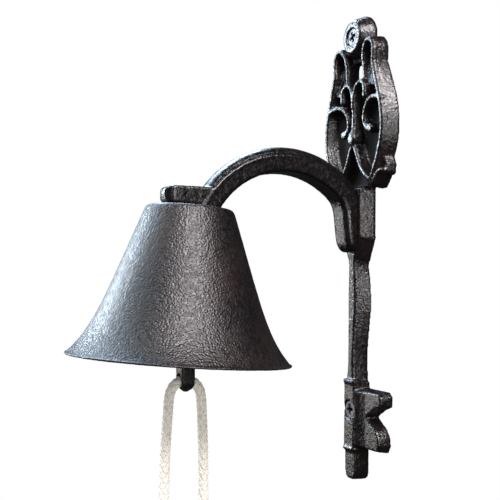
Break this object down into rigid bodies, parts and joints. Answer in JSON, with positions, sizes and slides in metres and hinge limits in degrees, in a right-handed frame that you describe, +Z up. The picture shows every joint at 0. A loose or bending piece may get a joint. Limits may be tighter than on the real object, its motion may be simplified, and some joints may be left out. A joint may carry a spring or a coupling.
{
  "type": "wall mounted bell",
  "caption": "Hand bell on a curved cast-iron arm with a key-shaped wall plate, rung by a swinging clapper with a looped pull cord.",
  "frame": {"origin": "on the back face of the wall plate, midway between the two wall screws", "axes": "+Y into the wall, +Z up, +X to the right of someone facing the wall"},
  "size_m": [0.11, 0.1908, 0.3958],
  "materials": {
    "plate_iron": "black satin paint over a sand-cast surface",
    "arm_iron": "black satin paint over a sand-cast surface",
    "bell_iron": "black satin paint over a sand-cast surface",
    "clapper_iron": "black satin paint over a sand-cast surface",
    "black_screw": "blackened steel with bright worn edges",
    "zinc_steel": "zinc plated",
    "spacer_rubber": "matt black rubber",
    "cotton_cord": "natural white braided cotton"
  },
  "bodies": {
    "bracket": {"key_plate": "plate_iron", "bracket_arm": "arm_iron", "arm_screws": "zinc_steel", "wall_screws": "black_screw", "bell": "bell_iron", "crown_spacer": "spacer_rubber", "hanger_bolt": "zinc_steel", "crown_washer": "zinc_steel", "crown_nut": "zinc_steel"},
    "link": {"clapper_link": "zinc_steel"},
    "clapper": {"clapper": "clapper_iron"},
    "cord": {"cord_front": "cotton_cord", "cord_back": "cotton_cord", "cord_knot": "cotton_cord"}
  },
  "joints": [
    {"name": "link_swing", "type": "hinge", "parent": "bracket", "child": "link", "pos_m": [0, -0.10193, -0.01571], "axis": [0, 1, 0], "range_deg": [-33, 33]},
    {"name": "clapper_swing", "type": "hinge", "parent": "link", "child": "clapper", "pos_m": [0, -0.10193, -0.02586], "axis": [1, 0, 0], "range_deg": [-12, 12]},
    {"name": "cord_swing", "type": "hinge", "parent": "clapper", "child": "cord", "pos_m": [0, -0.10193, -0.0818], "axis": [0, 1, 0], "range_deg": [-20, 20]}
  ]
}
